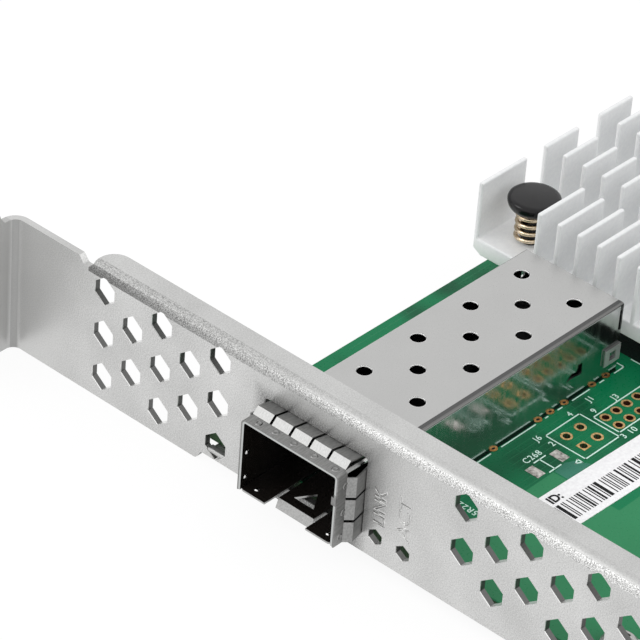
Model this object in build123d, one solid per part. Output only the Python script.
from build123d import *
import math
import os

# Low-profile network interface card with one pluggable optics port, on a full-height bracket.
# Working axes: X runs from the bracket's outer face into the card, Y towards the screw tab with 0 at the
# middle of the port, Z up from the board's component side. All sizes are in millimetres.

# Circuit board
board_thickness = 1.57
board_front = 1.7            # gap from the bracket's outer face to the board
board_rear = 142.0
board_top_edge = 17.15       # edge on the screw tab's side
board_height = 68.9          # from that edge to the ends of the edge contacts
contact_tongue_depth = 8.25  # how far the edge connector stands out of the board
board_corner_radius = 1.0

# Edge connector with eight lanes
tongue_start = 44.5
key_slot_width = 1.9
contact_pitch = 1.0
contact_width = 0.7
contact_length = 5.6
contact_inset = 0.55
contact_plating = 0.05
contacts_before_key = 11
contacts_after_key = 38
tongue_chamfer = 1.0
tongue_bevel_depth = 1.3
tongue_bevel = 0.4

# Bracket
sheet = 0.86
bend_inner_radius = 0.35
tab_bend_inner_radius = 1.2
bracket_length = 120.02
bracket_width = 18.42
bracket_top = 14.62          # upper long edge, above the board
narrow_bottom = -2.53        # lower long edge where the board tabs fold back
narrow_start = 17.6          # the edge steps down on the screw tab's side of this
step_run = 0.7
step_fillet = 0.5
tab_underside = 47.65
tab_depth = 11.43
tab_flare = 3.17             # the tab is wider than the bracket past its bend
tab_flare_start = 2.4
tab_notch_radius = 2.21
tab_notch_place = 6.0
tab_notch_depth = 4.6
tab_corner_radius = 1.2
flange_depth = 3.8
flange_start = 35.2
flange_end = -60.5
flange_corner_radius = 2.3
relief_length = 2.0
relief_depth = 0.95
tongue_width = 10.19
tongue_taper_start = -61.6
tongue_taper_end = -64.4
foot_corner_radius = 1.6
board_tab_length = 8.0
board_tab_width = 6.6
board_tab_places = (12.5, -40.2)
board_tab_gap = 0.1
screw_setback = 5.3          # screw axis behind the bracket's outer face
board_tab_corner_radius = 1.5

# Vents and lamp windows
vent_width = 3.15
vent_height = 3.95
vent_side = 1.55             # the upright sides between the slanted ones
vent_pitch_y = 4.572
vent_pitch_z = 6.09
vent_top_row = 11.6
vent_left_start = 14.71
vent_left_columns = 5
vent_right_start = -21.74
vent_right_columns = 9
vent_board_rows = 4
lamp_window_width = 1.95
lamp_window_tall = 2.2
lamp_window_side = 1.0
lamp_window_gap = 1.65        # from the cage's side to the first window's middle
lamp_window_pitch = 4.05
lamp_window_height = 0.48

# Port cage
cage_width = 14.17
cage_height = 9.67
cage_sheet = 0.25
cage_front = -4.3
cage_rear = 45.1
cage_body_reach = 8.0        # behind the bracket the wall on the header's side stands further out
cage_body_start = 2.6
cage_body_radius = 0.3
cage_corner_radius = 0.5
cage_vent_radius = 0.98
round_sides = 24             # facets of a small round piece or hole
cage_vent_pitch = 9.354
cage_vent_side = 4.016
cage_vent_rear = 40.68
cage_vent_columns = 4
latch_width = 5.3
latch_front = -2.4
latch_root = 7.5
latch_slit = 0.45
latch_lip_drop = 0.95
latch_lip_run = 0.45
latch_hole_front = -1.15
latch_hole_depth = 2.4
latch_hole_width = 3.0
floor_opening_start = 30.0
floor_opening_width = 10.6
cage_pin_width = 0.4
cage_pin_drop = 2.9
cage_wall_gap = 0.02
rear_slot = 0.35             # slit between a side wall and the folded rear wall
rear_flap_length = 2.85
rear_slot_low = 5.9
rear_slot_high = 8.75
rear_flap_bottom = 1.75
rear_flap_height = 2.35
rear_flap_window = 1.2
rear_flap_stand_off = 0.3
wall_lance = ((35.25, 2.98), (36.15, 3.8), (37.0, 3.6), (37.3, 4.0), (37.3, 4.55), (38.1, 4.45),
              (38.15, 3.7), (38.2, 2.95), (37.9, 2.83), (36.8, 3.0))   # its corners (x, z)


# Spring band round the cage's mouth
band_sheet = 0.2
band_strip = 1.5
band_side_bottom = -0.1
finger_rise = 0.78
finger_slope_run = 0.8
finger_tip_run = 3.6
finger_tip_drop = 0.72
finger_gap = 0.35
top_fingers = 5
side_fingers = 3
hook_height = 1.1
hook_place = 5.8
hook_run = 1.3
port_clearance = 0.06        # from the fingers to the bracket's port opening
port_sill = 0.25

# Port connector inside the cage
connector_front = 33.6
connector_rear = 42.6
connector_width = 9.6
connector_height = 5.4
connector_slot_height = 1.6
connector_slot_depth = 5.4
connector_slot_middle = 3.2
connector_slot_side_wall = 0.9
connector_ways = 10
connector_pitch = 0.8
connector_contact_width = 0.3
connector_contact_thickness = 0.2
connector_foot_length = 1.1

# Heat sink
sink_front = 47.95
sink_edge = 17.1
sink_underside = 2.8
sink_floor = 5.0
sink_top = 13.0
fin_pitch = 3.03
fin_count = 15
fin_thickness = 0.62
front_row_length = 8.5
middle_row_length = 6.4
front_slot = 3.7
middle_slot = 4.3
middle_rows = 3
sink_edge_chamfer = 0.7       # height of the lower edges' chamfers
sink_edge_chamfer_run = 1.2
pin_pocket_fins = 2
pin_setback = 4.65
pin_offset = 5.1

# Push pins and their springs
pin_head_radius = 3.3
pin_head_thickness = 0.45
pin_top = 11.45
pin_taper = 1.25             # height of the rounded taper under the head
pin_taper_bulge = 0.35
pin_taper_end_radius = 2.2   # the spring bears on this end
pin_body_radius = 1.35
pin_body_gap = 0.6
pin_shank_radius = 0.95
pin_hole_clearance = 0.15
pin_tip_drop = 2.0
pin_tip_radius = 1.45
pin_split = 0.4
spring_radius = 1.9
spring_wire = 0.25
spring_seat = 0.12           # lifts the squared wire's corner off what it bears on
spring_turns = 4
spring_steps = 10            # straight runs in a turn

# Controller under the heat sink
controller_size = 21.0
controller_substrate = 1.0
controller_die_size = 13.0
solder_height = 0.35
thermal_pad_thickness = 0.45

# Two unfitted pin headers, as plain holes
header_hole_radius = 0.5
small_hole_sides = 8         # small holes are faceted, to keep the mesh light
small_header_origin = (33.12, -12.32)
small_header_pitch = 2.54
small_header_columns = 2
large_header_origin = (36.75, -13.18)
large_header_pitch = 2.0
large_header_columns = 5

# Holes for the cage's pins, beside its walls
cage_hole_radius = 0.35
cage_hole_places = (6.5, 14.5, 22.53, 30.59, 32.83, 35.44, 40.61, 43.26)

# Bracket screws
screw_radius = 1.25
screw_head_radius = 2.2
screw_head_height = 1.4
screw_head_chamfer = 0.5
screw_recess_width = 0.75
screw_recess_length = 2.8
screw_recess_depth = 0.8
screw_thread_clearance = 0.06

# Label lying on the board
label_start = 15.0
label_length = 31.5
label_edge = -17.4
label_width = 6.2
label_turn = -1.7            # degrees about the start of its edge
label_thickness = 0.1

# Status lamps behind the bracket's two small windows
lamp_length = 1.6
lamp_width = 0.8
lamp_height = 0.7
lamp_setback = 1.6

# Supply parts, in columns beyond the heat sink: size along X, along Y and height
inductor_size = (7.2, 7.2, 3.2)
inductor_base = 0.3
inductor_foot = 1.2
supply_rows = (10.0, 0.5, -9.0)
supply_setback = 5.75        # from the heat sink's end
supply_gap = 2.9             # between columns
regulator_size = (4.0, 4.0, 0.85)
transistor_size = (5.1, 6.1, 1.0)
polymer_size = (7.3, 4.3, 2.8)
polymer_rows = (12.0, 5.0, -2.0, -9.0)
end_cap_thickness = 0.12

# Management chip, memory chip and clock crystal
manager_size = 7.0
manager_height = 0.9
manager_offset = 5.1         # from the supply columns' start
manager_row = -24.0
lead_drop = 0.15
lead_width = 0.3
lead_pitch = 0.8
lead_reach = 0.9
manager_leads = 8
memory_size = (5.2, 5.3, 1.8)
memory_offset = 15.0         # from the management chip
memory_row = -22.0
memory_leads = 4
memory_lead_pitch = 1.27
memory_lead_width = 0.42
crystal_size = (5.0, 3.2, 1.1)
crystal_offset = -2.0        # from the memory chip
crystal_drop = 11.0
crystal_lid_inset = 0.25
crystal_base_height = 0.5

# Small ceramic parts
capacitor_size = (1.6, 0.8, 0.8)
resistor_size = (1.6, 0.8, 0.45)
resistor_pitch = 2.0
resistor_column_gap = 8.0
resistor_row_gap = 5.2
lane_capacitors = 8
lane_capacitor_start = 67.0
lane_capacitor_pitch = 3.2
lane_capacitor_gap = 3.55    # from the edge contacts to this row
lane_pair_gap = 1.3
supply_capacitor_offset = 4.6

pcb_underside = -board_thickness
board_bottom_edge = board_top_edge - board_height
board_shoulder = board_bottom_edge + contact_tongue_depth
lane_capacitor_row = (board_bottom_edge + tongue_bevel_depth + contact_length + lane_capacitor_gap
                      + capacitor_size[0] / 2)
tongue_key = tongue_start + contacts_before_key * contact_pitch + contact_inset
tongue_end = tongue_key + key_slot_width + contacts_after_key * contact_pitch + contact_inset
wide_bottom = bracket_top - bracket_width
tab_top = tab_underside + sheet
bracket_foot = tab_top - bracket_length
bend_outer_radius = bend_inner_radius + sheet
sink_rear = (sink_front + 2 * (front_row_length + front_slot) + middle_rows * middle_row_length
             + (middle_rows - 1) * middle_slot)
sink_far_edge = sink_edge - (fin_count - 1) * fin_pitch - fin_thickness
pin_places = ((sink_front + pin_setback, sink_edge - pin_offset),
              (sink_rear - pin_setback, sink_far_edge + pin_offset))
sink_middle = ((sink_front + sink_rear) / 2, (sink_edge + sink_far_edge) / 2)
supply_start = sink_rear + supply_setback
inductor_column = supply_start + inductor_size[0] / 2
regulator_column = inductor_column + (inductor_size[0] + regulator_size[0]) / 2 + supply_gap
transistor_column = regulator_column + (regulator_size[0] + transistor_size[0]) / 2 + supply_gap
polymer_column = transistor_column + (transistor_size[0] + polymer_size[0]) / 2 + supply_gap
manager_place = (supply_start + manager_offset, manager_row)
memory_place = (manager_place[0] + memory_offset, memory_row)
crystal_place = (memory_place[0] + crystal_offset, memory_row - crystal_drop)
first_lamp = -(cage_body_reach + lamp_window_gap)
lamp_window_places = (first_lamp, first_lamp - lamp_window_pitch)
screw_places = tuple((screw_setback, place) for place in board_tab_places)
cage_wall_faces = (-cage_body_reach, cage_width / 2)
cage_hole_rows = (cage_sheet / 2 - cage_body_reach, (cage_width - cage_sheet) / 2)
tab_bend_outer_radius = tab_bend_inner_radius + sheet
finger_crest = cage_front + band_strip + finger_slope_run


def block(low, high):
    """A box between two opposite corners."""
    size = [high[i] - low[i] for i in range(3)]
    middle = [(high[i] + low[i]) / 2 for i in range(3)]
    return Pos(*middle) * Box(*size)


def ring(radius):
    """A round outline in facets that touch the radius from outside."""
    return RegularPolygon(radius / math.cos(math.pi / round_sides), round_sides)


def drum(place, radius, low, high):
    """An upright round bar or hole between two heights."""
    return Pos(place[0], place[1], low) * extrude(ring(radius), high - low)


def turned(stations):
    """A turned solid from (radius, height) stations, going down, with a step where two heights agree."""
    solid = None
    for (upper, top), (lower, low) in zip(stations, stations[1:]):
        if top == low:
            continue
        if upper == lower:
            piece = drum((0, 0), upper, low, top)
        else:
            piece = loft([Pos(0, 0, low) * ring(lower), Pos(0, 0, top) * ring(upper)], ruled=True)
        solid = piece if solid is None else solid + piece
    return solid


def across(outline, start, end):
    """Carries an outline of (y, z) points along X."""
    face = make_face(Polyline(*outline, close=True))
    return Pos(start, 0, 0) * extrude(Plane.YZ * face, end - start)


def hexagon(width, height, side):
    """A six-sided hole with its points up and down and two upright sides."""
    return make_face(Polyline(
        (0, height / 2), (width / 2, side / 2), (width / 2, -side / 2), (0, -height / 2),
        (-width / 2, -side / 2), (-width / 2, side / 2), close=True))


def vent_places():
    """Centres (y, z) of the staggered vents, clear of the board beside the port."""
    places = []
    for column in range(vent_left_columns):
        rows = 3 if column % 2 == 0 else 2
        shift = 0 if column % 2 == 0 else vent_pitch_z / 2
        for row in range(rows):
            places.append((vent_left_start + column * vent_pitch_y,
                           vent_top_row - shift - row * vent_pitch_z))
    for column in range(vent_right_columns):
        shift = 0 if column % 2 == 0 else vent_pitch_z / 2
        for row in range(vent_board_rows // 2):
            places.append((vent_right_start - column * vent_pitch_y,
                           vent_top_row - shift - row * vent_pitch_z))
    return places


def port_outline():
    """Half width, bottom and top of the bracket's opening, from the fingers that bear on it."""
    drop_at_face = finger_tip_drop * (0 - finger_crest) / finger_tip_run
    reach = band_sheet + finger_rise - drop_at_face + port_clearance
    return cage_width / 2 + reach, band_side_bottom - port_sill, cage_height + reach


def make_bracket():
    """The folded sheet: face, screw tab, stiffening flange and two board tabs."""
    half_tongue = tongue_width / 2
    middle = (bracket_top + wide_bottom) / 2
    face_top = tab_top - tab_bend_outer_radius
    face = Polyline(
        (face_top, bracket_top), (face_top, wide_bottom), (narrow_start, wide_bottom),
        (narrow_start - step_run, narrow_bottom), (tongue_taper_start, narrow_bottom),
        (tongue_taper_end, middle - half_tongue), (bracket_foot, middle - half_tongue),
        (bracket_foot, middle + half_tongue), (tongue_taper_end, middle + half_tongue),
        (tongue_taper_start, bracket_top), close=True)
    face = make_face(face)
    feet = face.vertices().sort_by(Axis.X)[:2]
    face = fillet(feet, foot_corner_radius)
    step = face.vertices().filter_by_position(Axis.X, narrow_start - step_run - 0.1, narrow_start + 0.1)
    face = fillet(step, step_fillet)
    half_width, port_bottom, port_top = port_outline()
    face -= Pos(0, (port_bottom + port_top) / 2) * RectangleRounded(
        2 * half_width, port_top - port_bottom, cage_corner_radius)
    face -= [Pos(*place) * hexagon(vent_width, vent_height, vent_side) for place in vent_places()]
    window = hexagon(lamp_window_width, lamp_window_tall, lamp_window_side)
    face -= [Pos(place, lamp_window_height) * window for place in lamp_window_places]
    fold_line = bracket_top - bend_outer_radius
    folded = Pos((flange_start + flange_end) / 2, fold_line + bend_outer_radius / 2) * Rectangle(
        flange_start - flange_end, bend_outer_radius)
    relief = make_face(Polyline(
        (flange_start, bracket_top), (flange_start, bracket_top - relief_depth),
        (flange_start + relief_length * 0.6, bracket_top - relief_depth),
        (flange_start + relief_length, bracket_top), close=True))
    sheet_face = extrude(Plane.YZ * (face - folded - relief), sheet)
    bracket = sheet_face + bracket_flange() + screw_tab()
    for place in board_tab_places:
        bracket += board_tab(place)
    return bracket


def bracket_flange():
    """The fold along the upper long edge, with rounded corners."""
    fold_line = bracket_top - bend_outer_radius
    bend = Pos(bend_outer_radius, fold_line) * (Circle(bend_outer_radius) - Circle(bend_inner_radius))
    bend &= Pos(bend_outer_radius / 2, fold_line + bend_outer_radius / 2) * Rectangle(
        bend_outer_radius, bend_outer_radius)
    flat = Pos((bend_outer_radius + flange_depth) / 2, bracket_top - sheet / 2) * Rectangle(
        flange_depth - bend_outer_radius, sheet)
    strip = extrude(Plane.XZ * (bend + flat), -(flange_start - flange_end))
    strip = Pos(0, flange_end, 0) * strip
    corners = strip.edges().filter_by(Axis.Z).group_by(Axis.X)[-1]
    return fillet(corners, min(flange_corner_radius, flange_depth - bend_outer_radius - 0.05))


def screw_tab():
    """The tab that a chassis screw holds, folded outwards, with its open notch."""
    radius = tab_bend_outer_radius
    bend_centre = (sheet - radius, tab_top - radius)
    bend = Pos(*bend_centre) * (Circle(radius) - Circle(tab_bend_inner_radius))
    bend &= Pos(bend_centre[0] + radius / 2, bend_centre[1] + radius / 2) * Rectangle(radius, radius)
    fold = Pos(0, 0, wide_bottom) * extrude(bend, bracket_width)
    start = bend_centre[0]
    flared = bracket_top + tab_flare
    outline = make_face(Polyline(
        (start, bracket_top), (start, wide_bottom), (-tab_depth, wide_bottom), (-tab_depth, flared),
        (-tab_flare_start - tab_flare * 0.3, flared), (-tab_flare_start, bracket_top + tab_flare * 0.25),
        (-tab_flare_start + 0.6, bracket_top), close=True))
    corners = outline.vertices().group_by(Axis.X)[0]
    outline = fillet(corners, tab_corner_radius)
    notch_floor = flared - tab_notch_depth
    notch = Pos(-tab_notch_place, notch_floor + tab_notch_radius) * Circle(tab_notch_radius)
    notch += Pos(-tab_notch_place, flared) * Rectangle(
        2 * tab_notch_radius, 2 * (tab_notch_depth - tab_notch_radius))
    plate = extrude(Plane.XZ * (outline - notch), -sheet)
    return fold + Pos(0, tab_underside, 0) * plate


def board_tab(place):
    """A tab folded back under the board, with the hole its screw threads into."""
    top = pcb_underside - board_tab_gap
    low = top - sheet
    half = board_tab_width / 2
    bend = Pos(bend_outer_radius, low + bend_outer_radius) * (
        Circle(bend_outer_radius) - Circle(bend_inner_radius))
    bend &= Pos(bend_outer_radius / 2, low + bend_outer_radius / 2) * Rectangle(
        bend_outer_radius, bend_outer_radius)
    fold = Pos(0, place - half, 0) * extrude(Plane.XZ * bend, -board_tab_width)
    end = board_tab_length + bend_outer_radius
    flat = Pos((bend_outer_radius + end) / 2, place) * Rectangle(board_tab_length, board_tab_width)
    flat = fillet(flat.vertices().group_by(Axis.X)[-1], board_tab_corner_radius)
    flat -= Pos(screw_setback, place) * ring(screw_radius + screw_thread_clearance)
    return fold + Pos(0, 0, low) * extrude(flat, sheet)


def edge_outline():
    """The board's plan, with the edge connector and its key slot."""
    outline = make_face(Polyline(
        (board_front, board_top_edge), (board_rear, board_top_edge), (board_rear, board_shoulder),
        (tongue_end, board_shoulder), (tongue_end, board_bottom_edge + tongue_chamfer),
        (tongue_end - tongue_chamfer, board_bottom_edge), (tongue_start + tongue_chamfer, board_bottom_edge),
        (tongue_start, board_bottom_edge + tongue_chamfer), (tongue_start, board_shoulder),
        (board_front, board_shoulder), close=True))
    rear_corners = outline.vertices().group_by(Axis.X)[-1]
    outline = fillet(rear_corners, board_corner_radius)
    slot_end = board_shoulder - key_slot_width
    key = Pos(tongue_key + key_slot_width / 2, (board_bottom_edge + slot_end) / 2) * Rectangle(
        key_slot_width, slot_end - board_bottom_edge)
    key += Pos(tongue_key + key_slot_width / 2, slot_end) * Circle(key_slot_width / 2)
    return outline - key


def header_places(origin, pitch, columns):
    """Centres of a two-row header's holes; a negative pitch counts its columns the other way."""
    return [(origin[0] + column * pitch, origin[1] - row * abs(pitch))
            for column in range(columns) for row in range(2)]


def cage_hole_centres():
    """Centres of the holes for the cage's pins, on both sides of it."""
    return [(x, y) for x in cage_hole_places for y in cage_hole_rows]


def make_board():
    """The bare laminate with all its holes and the bevelled contact edge."""
    plan = edge_outline()
    small = header_places(small_header_origin, -small_header_pitch, small_header_columns)
    large = header_places(large_header_origin, large_header_pitch, large_header_columns)
    plan -= [Pos(*place) * RegularPolygon(header_hole_radius, small_hole_sides) for place in small + large]
    plan -= [Pos(*place) * RegularPolygon(cage_hole_radius, small_hole_sides)
             for place in cage_hole_centres()]
    plan -= [Pos(*place) * ring(pin_shank_radius + pin_hole_clearance) for place in pin_places]
    plan -= [Pos(*place) * ring(screw_radius + screw_thread_clearance) for place in screw_places]
    board = Pos(0, 0, pcb_underside) * extrude(plan, board_thickness)
    low, high = board_bottom_edge, board_bottom_edge + tongue_bevel_depth
    upper = [(low - 0.1, 0.1), (low - 0.1, -tongue_bevel), (low, -tongue_bevel), (high, 0), (high, 0.1)]
    lower = [(y, pcb_underside - z) for y, z in upper]
    for bevel in (upper, lower):
        board -= across(bevel, tongue_start - 1, tongue_end + 1)
    return board


def make_edge_contacts():
    """Gold fingers on both faces of the edge connector."""
    starts = [tongue_start + contact_inset + (i + 0.5) * contact_pitch for i in range(contacts_before_key)]
    resume = tongue_key + key_slot_width
    starts += [resume + (i + 0.5) * contact_pitch for i in range(contacts_after_key)]
    low = board_bottom_edge + tongue_bevel_depth
    high = low + contact_length
    half = contact_width / 2
    fingers = []
    for x in starts:
        fingers.append(block((x - half, low, 0), (x + half, high, contact_plating)))
        fingers.append(block((x - half, low, pcb_underside - contact_plating),
                             (x + half, high, pcb_underside)))
    return Compound(children=fingers)


def cage_section(low, high, bottom, top, thickness, radius):
    """Closed (y, z) outline of a channel that is open at the bottom, with rounded upper corners."""
    outside = Pos((low + high) / 2, (top + bottom) / 2) * Rectangle(high - low, top - bottom)
    outside = fillet(outside.vertices().group_by(Axis.Y)[-1], radius)
    inside_top = top - thickness
    inside = Pos((low + high) / 2, (inside_top + bottom) / 2) * Rectangle(
        high - low - 2 * thickness, inside_top - bottom)
    inside = fillet(inside.vertices().group_by(Axis.Y)[-1], radius - thickness)
    return outside - inside


def cage_vent_centres():
    """Centres of the round vents in the cage's top, the middle column set half a pitch forward."""
    places = []
    for column in range(cage_vent_columns):
        x = cage_vent_rear - column * cage_vent_pitch
        places += [(x, cage_vent_side), (x, -cage_vent_side), (x - cage_vent_pitch / 2, 0)]
    return places


def make_cage_cover():
    """The outer shell: mouth, wider body, folded rear wall, vents and press-fit pins."""
    low, high = cage_wall_faces
    mouth = cage_section(-high, high, 0, cage_height, cage_sheet, cage_corner_radius)
    body = cage_section(low, high, 0, cage_height, cage_sheet, cage_body_radius)
    cover = Pos(cage_front, 0, 0) * extrude(Plane.YZ * mouth, cage_body_start + cage_sheet - cage_front)
    cover += Pos(cage_body_start, 0, 0) * extrude(Plane.YZ * body, cage_rear - cage_body_start)
    cover += block((cage_body_start, low + cage_sheet / 2, 0),
                   (cage_body_start + cage_sheet, cage_sheet - high, cage_height - cage_sheet / 2))
    cover -= [drum(place, cage_vent_radius, cage_height - 1, cage_height + 1)
              for place in cage_vent_centres()]
    wall_end = cage_rear - cage_sheet - rear_slot
    cover += block((cage_rear - cage_sheet, low, rear_flap_bottom),
                   (cage_rear, high, cage_height - cage_body_radius))
    for face, sign in ((high, 1), (low, -1)):
        inner, outer = sorted((face - sign * (cage_sheet + 0.1), face + sign * 0.1))
        cover -= block((wall_end, inner, rear_slot_low), (cage_rear - cage_sheet, outer, rear_slot_high))
        cover -= side_lance(inner, outer)
        cover += rear_flap(face, sign)
    for x, y in cage_hole_centres():
        cover += cage_pin(x, y)
    return cover


def side_lance(low, high):
    """The stepped slit torn through a side wall."""
    outline = make_face(Polyline(*wall_lance, close=True))
    return Pos(0, high, 0) * extrude(Plane.XZ * outline, high - low)


def rear_flap(face, sign):
    """The rear wall's flap, folded forward over a side wall, with its square window."""
    low, high = sorted((face, face + sign * rear_flap_stand_off))
    top = rear_flap_bottom + rear_flap_height
    flap = block((cage_rear - rear_flap_length, low, rear_flap_bottom), (cage_rear, high, top))
    x = cage_rear - rear_flap_length / 2
    z = rear_flap_bottom + rear_flap_height / 2
    half = rear_flap_window / 2
    return flap - block((x - half, low - 0.1, z - half), (x + half, high + 0.1, z + half))


def cage_pin(x, y):
    """A press-fit pin: a leg straight down from the wall through the board."""
    half, thick = cage_pin_width / 2, cage_sheet / 2
    return block((x - half, y - thick, -cage_pin_drop), (x + half, y + thick, cage_sheet))


def make_cage_floor():
    """The floor plate with the latch tongue, its lip and its triangular catch."""
    half = cage_width / 2 - cage_sheet - cage_wall_gap
    plan = Pos((cage_front + floor_opening_start) / 2, 0) * Rectangle(
        floor_opening_start - cage_front, 2 * half)
    plan = fillet(plan.vertices().group_by(Axis.X)[0], cage_corner_radius)
    body_low = cage_sheet + cage_wall_gap - cage_body_reach
    body_start = cage_body_start + cage_sheet + cage_wall_gap
    plan += Pos((body_start + floor_opening_start) / 2, (body_low + half) / 2) * Rectangle(
        floor_opening_start - body_start, half - body_low)
    for side in (1, -1):
        y = side * (latch_width / 2 + latch_slit / 2)
        plan -= Pos((cage_front + latch_root) / 2 - 0.1, y) * Rectangle(
            latch_root - cage_front + 0.2, latch_slit)
    plan -= Pos((cage_front + latch_front) / 2 - 0.1, 0) * Rectangle(
        latch_front - cage_front + 0.2, latch_width + 2 * latch_slit)
    plan -= make_face(Polyline(
        (latch_hole_front, latch_hole_width / 2), (latch_hole_front, -latch_hole_width / 2),
        (latch_hole_front + latch_hole_depth, 0), close=True))
    rail_end = cage_rear - cage_sheet
    opening = floor_opening_width / 2
    rails = [Pos((floor_opening_start + rail_end) / 2, (outer + inner) / 2)
             * Rectangle(rail_end - floor_opening_start, abs(outer - inner))
             for outer, inner in ((half, opening), (body_low, -opening))]
    plate = extrude(plan + rails, cage_sheet)
    lip = make_face(Polyline(
        (latch_front, cage_sheet), (latch_front + cage_sheet, 0),
        (latch_front + cage_sheet - latch_lip_run, -latch_lip_drop),
        (latch_front - latch_lip_run, -latch_lip_drop), close=True))
    lip = Pos(0, -latch_width / 2, 0) * extrude(Plane.XZ * lip, -latch_width)
    return plate + lip


def finger_profile(foot):
    """A finger's side view, from its foot on the strip up to its crest and down to its tip."""
    start = cage_front + band_strip
    crest = start + finger_slope_run
    tip = crest + finger_tip_run
    upper = [(start - 0.01, foot + band_sheet), (crest, foot + band_sheet + finger_rise),
             (tip, foot + band_sheet + finger_rise - finger_tip_drop)]
    lower = [(x, z - band_sheet) for x, z in reversed(upper)]
    return make_face(Polyline(*upper, *lower, close=True))


def make_spring_band():
    """The strip round the mouth with its rows of spring fingers and the hook that holds it."""
    half = cage_width / 2
    outer = half + band_sheet
    section = cage_section(-outer, outer, band_side_bottom, cage_height + band_sheet, band_sheet,
                           cage_corner_radius + band_sheet)
    band = Pos(cage_front, 0, 0) * extrude(Plane.YZ * section, band_strip)
    width = (2 * outer - finger_gap) / top_fingers - finger_gap
    for i in range(top_fingers):
        y = finger_gap - outer + i * (width + finger_gap)
        band += Pos(0, y, 0) * extrude(Plane.XZ * finger_profile(cage_height), -width)
    span = cage_height - band_side_bottom
    height = (span - finger_gap) / side_fingers - finger_gap
    for i in range(side_fingers):
        z = band_side_bottom + i * (height + finger_gap)
        finger = Pos(0, 0, z) * extrude(finger_profile(half), height)
        band += finger
        band += mirror(finger, Plane.XZ)
    return band + mirror(band_hook(), Plane.XZ)


def band_hook():
    """A tab of the strip that folds round the front edge of the cage's wall."""
    inner = cage_width / 2 - cage_sheet
    outer = cage_width / 2 + band_sheet
    low = cage_front - band_sheet
    hook = block((low, inner - band_sheet, 0), (cage_front, outer, hook_height))
    hook += block((low, inner - band_sheet, 0), (cage_front + hook_run, inner, hook_height))
    return Pos(0, 0, hook_place) * hook


def make_connector_housing():
    """The moulded body of the 20-way connector, with the slot that takes a module's edge."""
    half = connector_width / 2
    body = block((connector_front, -half, 0), (connector_rear, half, connector_height))
    slot_half = half - connector_slot_side_wall
    body -= block((connector_front - 1, -slot_half, connector_slot_middle - connector_slot_height / 2),
                  (connector_front + connector_slot_depth, slot_half,
                   connector_slot_middle + connector_slot_height / 2))
    body = chamfer(body.edges().filter_by(Axis.Y).group_by(Axis.X)[-1].group_by(Axis.Z)[-1], 1.0)
    rear_step = block((connector_rear - 1.2, -half - 1, -1), (connector_rear + 1, half + 1, 1.2))
    return body - rear_step


def make_connector_contacts():
    """Two rows of contact feet soldered behind and in front of the connector."""
    feet = []
    half = connector_contact_width / 2
    for i in range(connector_ways):
        y = (i - (connector_ways - 1) / 2) * connector_pitch
        for inner, outer in ((connector_rear - 1.2, connector_rear - 1.2 + connector_foot_length),
                             (connector_front, connector_front - connector_foot_length)):
            start, end = sorted((inner, outer))
            feet.append(block((start, y - half, 0), (end, y + half, connector_contact_thickness)))
    return Compound(children=feet)


def fin_rows():
    """Start and end of each row of fins along X."""
    rows = [(sink_front, sink_front + front_row_length)]
    start = rows[0][1] + front_slot
    for _ in range(middle_rows):
        rows.append((start, start + middle_row_length))
        start += middle_row_length + middle_slot
    rows.append((sink_rear - front_row_length, sink_rear))
    return rows


def make_heat_sink():
    """The cast base with its cross-cut fins and a pocket for a push pin at two opposite corners."""
    base = block((sink_front, sink_far_edge, sink_underside), (sink_rear, sink_edge, sink_floor))
    slope = sink_underside + sink_edge_chamfer
    for edge, out in ((sink_edge, 1), (sink_far_edge, -1)):
        inner = edge - out * sink_edge_chamfer_run
        base -= across([(inner, sink_underside), (edge, slope), (edge + out, slope),
                        (edge + out, sink_underside - 1), (inner, sink_underside - 1)],
                       sink_front - 1, sink_rear + 1)
    middle = sink_middle
    base += block((middle[0] - controller_size / 2, middle[1] - controller_size / 2, pedestal_bottom()),
                  (middle[0] + controller_size / 2, middle[1] + controller_size / 2, sink_underside))
    rows = fin_rows()
    fins = []
    for number, (start, end) in enumerate(rows):
        for i in range(fin_count):
            near_pin = number == 0 and 0 < i <= pin_pocket_fins
            far_pin = number == len(rows) - 1 and 0 < fin_count - 1 - i <= pin_pocket_fins
            if near_pin or far_pin:
                continue
            left = sink_edge - i * fin_pitch
            fins.append(block((start, left - fin_thickness, sink_floor), (end, left, sink_top)))
    sink = base.fuse(*fins)
    sink -= [drum(place, pin_shank_radius + pin_hole_clearance, 0, sink_floor + 1) for place in pin_places]
    return sink


def pedestal_bottom():
    """Underside of the pad that reaches down to the controller."""
    return solder_height + controller_substrate + thermal_pad_thickness


def push_pin():
    """A moulded pin: mushroom head, body, shank and split tip under the board."""
    rim = pin_top - pin_head_thickness
    seat = rim - pin_taper
    neck = sink_floor + pin_body_gap
    snap = pcb_underside
    middle_radius = (pin_head_radius + pin_taper_end_radius) / 2 + pin_taper_bulge
    pin = turned([
        (pin_head_radius, pin_top), (pin_head_radius, rim), (middle_radius, (rim + seat) / 2),
        (pin_taper_end_radius, seat), (pin_body_radius, seat), (pin_body_radius, neck),
        (pin_shank_radius, neck), (pin_shank_radius, snap), (pin_tip_radius, snap),
        (pin_tip_radius * 0.5, snap - pin_tip_drop)])
    half = pin_split / 2
    split = block((-half, -2, snap - pin_tip_drop - 1), (half, 2, snap + board_thickness / 2))
    return pin - split


def make_push_pins():
    """The two pins that hold the heat sink, at opposite corners of it."""
    return Compound(children=[Pos(x, y, 0) * push_pin() for x, y in pin_places])


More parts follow.
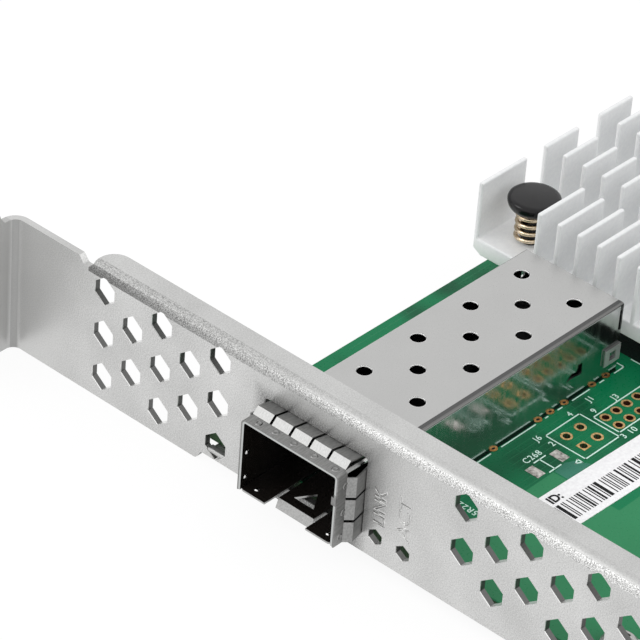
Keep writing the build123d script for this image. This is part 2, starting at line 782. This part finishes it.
def coil_spring():
    """A coil of square wire, in short straight runs, between the heat sink and the pin's head."""
    low = sink_floor + spring_wire + spring_seat
    high = pin_top - pin_head_thickness - pin_taper - spring_wire - spring_seat
    steps = spring_turns * spring_steps
    points = []
    for i in range(steps + 1):
        turn = math.radians(360 / spring_steps * i)
        points.append((spring_radius * math.cos(turn), spring_radius * math.sin(turn),
                       low + (high - low) * i / steps))
    path = Polyline(*points)
    section = Plane(origin=path @ 0, z_dir=path % 0) * Rectangle(2 * spring_wire, 2 * spring_wire)
    return sweep(section, path, transition=Transition.RIGHT)


def make_springs():
    """The steel coils round the two push pins."""
    return Compound(children=[Pos(x, y, 0) * coil_spring() for x, y in pin_places])


def make_controller():
    """The controller's package: substrate on its solder grid with the bare die on top."""
    x, y = sink_middle
    half = controller_size / 2
    die = controller_die_size / 2
    top = solder_height + controller_substrate
    package = block((x - half, y - half, solder_height), (x + half, y + half, top - 0.5))
    package += block((x - die, y - die, top - 0.5), (x + die, y + die, top))
    package += block((x - half + 1, y - half + 1, 0), (x + half - 1, y + half - 1, solder_height))
    return package


def make_thermal_pad():
    """The soft pad between the die and the heat sink."""
    x, y = sink_middle
    half = controller_die_size / 2
    low = solder_height + controller_substrate
    return block((x - half, y - half, low), (x + half, y + half, low + thermal_pad_thickness))


def make_bracket_screws():
    """Pan-head screws through the board into the bracket's tabs."""
    low = pcb_underside - board_tab_gap - sheet
    shank = drum((0, 0), screw_radius, low, 0)
    head = turned([
        (screw_head_radius - screw_head_chamfer, screw_head_height),
        (screw_head_radius, screw_head_height - screw_head_chamfer), (screw_head_radius, 0)])
    half_length, half_width = screw_recess_length / 2, screw_recess_width / 2
    floor = screw_head_height - screw_recess_depth
    for length, width in ((half_length, half_width), (half_width, half_length)):
        head -= block((-length, -width, floor), (length, width, screw_head_height + 1))
    return Compound(children=[Pos(x, y, 0) * (shank + head) for x, y in screw_places])


def make_label():
    """The paper label, stuck on slightly askew."""
    label = block((0, -label_width, 0), (label_length, 0, label_thickness))
    return Pos(label_start, label_edge, 0) * Rot(0, 0, label_turn) * label


def make_lamps():
    """Side-view status lamps behind the bracket's two windows."""
    start = board_front + lamp_setback
    half = lamp_length / 2
    return Compound(children=[
        block((start, y - half, 0), (start + lamp_width, y + half, lamp_height))
        for y in lamp_window_places])


def on_board(size, places):
    """Boxes of one size standing on the board."""
    length, width, height = size
    return [Pos(x, y, height / 2) * Box(length, width, height) for x, y in places]


def make_inductors():
    """Moulded power inductors: a block on two bent feet."""
    length, width, height = inductor_size
    body = Pos(0, 0, (height + inductor_base) / 2) * Box(length, width, height - inductor_base)
    body = chamfer(body.edges().filter_by(Axis.Z), 0.5)
    for side in (1, -1):
        body += Pos(side * (length - inductor_foot) / 2, 0, inductor_base / 2) * Box(
            inductor_foot, width * 0.6, inductor_base)
    return Compound(children=[Pos(inductor_column, y, 0) * body for y in supply_rows])


def make_polymer_capacitors():
    """Polymer capacitors: a block with a plate folded round each end."""
    length, width, height = polymer_size
    body = Pos(0, 0, height / 2) * Box(length - 2 * end_cap_thickness, width, height)
    body = chamfer(body.edges().group_by(Axis.Z)[-1], 0.25)
    for side in (1, -1):
        body += Pos(side * (length - end_cap_thickness) / 2, 0, height * 0.35) * Box(
            end_cap_thickness, width * 0.55, height * 0.7)
    return Compound(children=[Pos(polymer_column, y, 0) * body for y in polymer_rows])


def make_regulators():
    """Flat regulator chips."""
    return Compound(children=on_board(regulator_size, [(regulator_column, y) for y in supply_rows]))


def make_transistors():
    """Flat power transistors."""
    return Compound(children=on_board(transistor_size, [(transistor_column, y) for y in supply_rows]))


def gull_lead(reach, width, height):
    """One lead along +X: out of the body, down, and flat on the board."""
    thick = lead_drop
    profile = make_face(Polyline(
        (0, height), (0, height + thick), (reach * 0.4, height + thick), (reach * 0.6, thick),
        (reach, thick), (reach, 0), (reach * 0.45, 0), (reach * 0.25, height), close=True))
    return Pos(0, -width / 2, 0) * extrude(Plane.XZ * profile, -width)


def make_manager():
    """The management chip with leads on its four sides."""
    body = Pos(0, 0, lead_drop + manager_height / 2) * Box(manager_size, manager_size, manager_height)
    body = chamfer(body.edges().group_by(Axis.Z)[-1], 0.15)
    lead = Pos(manager_size / 2, 0, 0) * gull_lead(lead_reach, lead_width, lead_drop + manager_height / 3)
    leads = []
    for i in range(manager_leads):
        y = (i - (manager_leads - 1) / 2) * lead_pitch
        leads += [Rot(0, 0, turn) * Pos(0, y, 0) * lead for turn in (0, 90, 180, 270)]
    return Pos(*manager_place, 0) * body.fuse(*leads)


def make_memory():
    """The memory chip with four leads on two sides."""
    length, width, height = memory_size
    body = Pos(0, 0, lead_drop + height / 2) * Box(length, width, height)
    body = chamfer(body.edges().group_by(Axis.Z)[-1], 0.2)
    lead = Pos(length / 2, 0, 0) * gull_lead(lead_reach, memory_lead_width, lead_drop + height / 3)
    leads = []
    for i in range(memory_leads):
        y = (i - (memory_leads - 1) / 2) * memory_lead_pitch
        leads += [Rot(0, 0, turn) * Pos(0, y, 0) * lead for turn in (0, 180)]
    return Pos(*memory_place, 0) * body.fuse(*leads)


def make_crystal():
    """The clock crystal: a ceramic base with a metal lid."""
    length, width, height = crystal_size
    base = Box(length, width, crystal_base_height, align=(Align.CENTER, Align.CENTER, Align.MIN))
    lid = Box(length - 2 * crystal_lid_inset, width - 2 * crystal_lid_inset, height,
              align=(Align.CENTER, Align.CENTER, Align.MIN))
    lid = fillet(lid.edges().filter_by(Axis.Z), 0.4)
    return Pos(*crystal_place, 0) * (base + lid)


def make_chip_capacitors():
    """Ceramic capacitors by the edge contacts and beside the supply parts."""
    length, width, height = capacitor_size
    places = []
    for i in range(lane_capacitors):
        x = lane_capacitor_start + i * lane_capacitor_pitch
        places += [(x, lane_capacitor_row), (x + lane_pair_gap, lane_capacitor_row)]
    lanes = on_board((width, length, height), places)
    places = []
    for y in supply_rows:
        for column in (regulator_column, transistor_column):
            places += [(column, y - supply_capacitor_offset), (column, y + supply_capacitor_offset)]
    return Compound(children=lanes + on_board(capacitor_size, places))


def make_chip_resistors():
    """Small resistors beside the management chip and the memory chip."""
    x, y = manager_place
    far, top = memory_place
    places = [(x + resistor_column_gap, y + (i - 2) * resistor_pitch) for i in range(5)]
    places += [(far + (i - 1.5) * resistor_pitch * 1.2, top + resistor_row_gap) for i in range(4)]
    return Compound(children=on_board(resistor_size, places))


nodes = {
    "bracket": make_bracket,
    "circuit_board": make_board,
    "edge_contacts": make_edge_contacts,
    "cage_cover": make_cage_cover,
    "cage_floor": make_cage_floor,
    "cage_spring_band": make_spring_band,
    "port_connector": make_connector_housing,
    "port_contacts": make_connector_contacts,
    "heat_sink": make_heat_sink,
    "push_pins": make_push_pins,
    "push_pin_springs": make_springs,
    "controller_chip": make_controller,
    "thermal_pad": make_thermal_pad,
    "bracket_screws": make_bracket_screws,
    "paper_label": make_label,
    "status_lamps": make_lamps,
    "power_inductors": make_inductors,
    "polymer_capacitors": make_polymer_capacitors,
    "regulator_chips": make_regulators,
    "power_transistors": make_transistors,
    "management_chip": make_manager,
    "memory_chip": make_memory,
    "clock_crystal": make_crystal,
    "chip_capacitors": make_chip_capacitors,
    "chip_resistors": make_chip_resistors,
}

os.makedirs("parts", exist_ok=True)
lowest = min(wide_bottom, pcb_underside - pin_tip_drop)
shift = Pos(-(board_rear - tab_depth) / 2, -(tab_top + bracket_foot) / 2, -lowest)
for name, make in nodes.items():
    export_step(shift * make(), f"parts/{name}.step")
    print("wrote", name)
